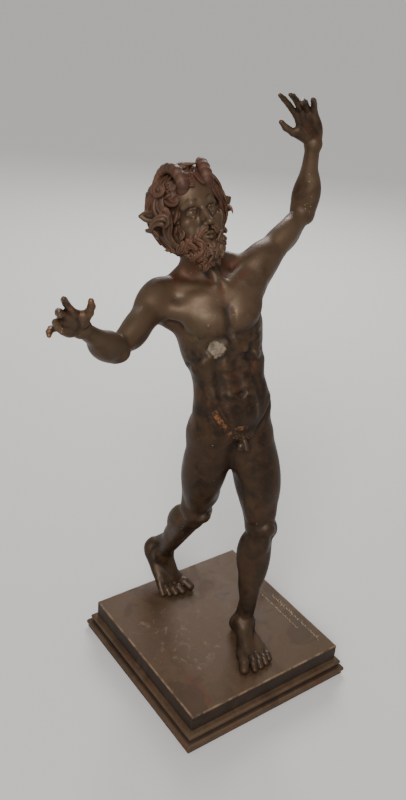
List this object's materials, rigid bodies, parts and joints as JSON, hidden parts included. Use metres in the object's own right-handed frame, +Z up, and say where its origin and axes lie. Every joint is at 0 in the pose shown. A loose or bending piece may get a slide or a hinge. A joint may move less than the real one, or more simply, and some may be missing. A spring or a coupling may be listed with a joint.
{
  "type": "bronze faun figure",
  "caption": "Patinated bronze faun caught mid-step with an arm flung up, horned, bearded and wild-haired, on a square moulded plinth.",
  "frame": {"origin": "centre of the plinth's underside, on the surface it stands on", "axes": "+Z up; -Y is the plinth's front edge, towards which the faun steps; +X is the figure's left, the side of the raised arm"},
  "size_m": [0.2055, 0.1453, 0.3713],
  "materials": {
    "plinth_bronze": "olive-brown bronze patina, satin, worn pale along the edges",
    "figure_bronze": "chocolate-brown bronze patina, satin, rust-red in the hair and creases"
  },
  "bodies": {
    "root": {"plinth": "plinth_bronze", "faun_figure": "figure_bronze"}
  },
  "joints": []
}
